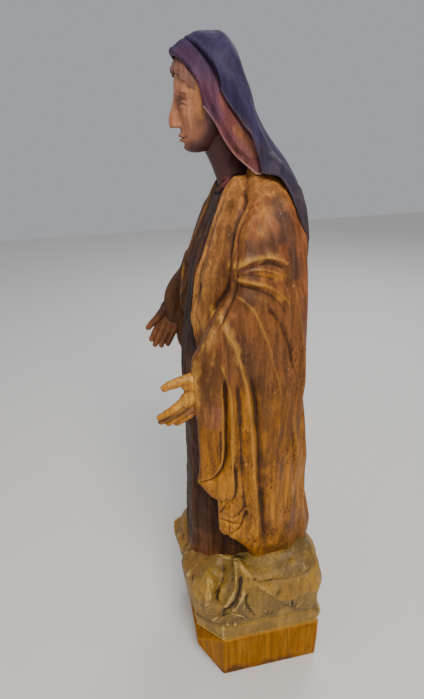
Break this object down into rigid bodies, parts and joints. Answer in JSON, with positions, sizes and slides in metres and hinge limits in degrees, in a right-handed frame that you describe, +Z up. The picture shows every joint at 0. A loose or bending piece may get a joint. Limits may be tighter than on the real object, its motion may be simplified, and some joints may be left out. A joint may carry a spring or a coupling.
{
  "type": "carved wooden saint statue",
  "caption": "Standing veiled and cloaked figure in carved wood, both open hands held forward, on a rocky mound over a plinth with chamfered front corners.",
  "frame": {"origin": "middle of the plinth's flat underside", "axes": "+Z up through the figure; -Y the way the figure faces; +X to the figure's own left"},
  "size_m": [0.2184, 0.2124, 0.7995],
  "materials": {
    "carved_wood": "satin, stained and waxed",
    "plinth_wood": "satin, waxed"
  },
  "bodies": {
    "root": {"figure": "carved_wood", "plinth": "plinth_wood"}
  },
  "joints": []
}
